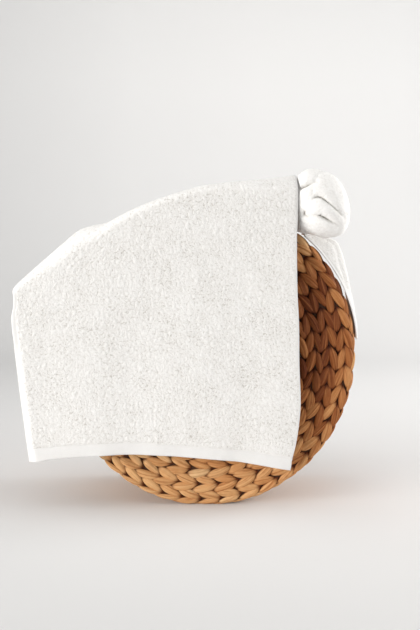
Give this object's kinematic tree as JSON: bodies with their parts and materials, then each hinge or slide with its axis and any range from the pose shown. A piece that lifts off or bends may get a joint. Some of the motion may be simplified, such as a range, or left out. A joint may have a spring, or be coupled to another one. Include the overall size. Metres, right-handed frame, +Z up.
{
  "type": "rolled face towel over a round woven basket",
  "caption": "White terry face towel rolled up askew and laid over a round woven basket on its side, with its near half hanging in front to a flat woven hem.",
  "frame": {"origin": "on the surface that the basket rests on, in the middle of its resting flat's depth", "axes": "+Z up, +X to the right seen from the hanging half of the towel, +Y away from the hanging half"},
  "size_m": [0.6231, 0.2411, 0.613],
  "materials": {
    "terry": "matt looped pile, flat woven hem",
    "fibre": "braided dried plant stalk, satin, tan to reddish brown"
  },
  "bodies": {
    "root": {"basket": "fibre", "towel_roll": "terry", "towel_loose_end": "terry", "towel_far_corner": "terry"}
  },
  "joints": []
}
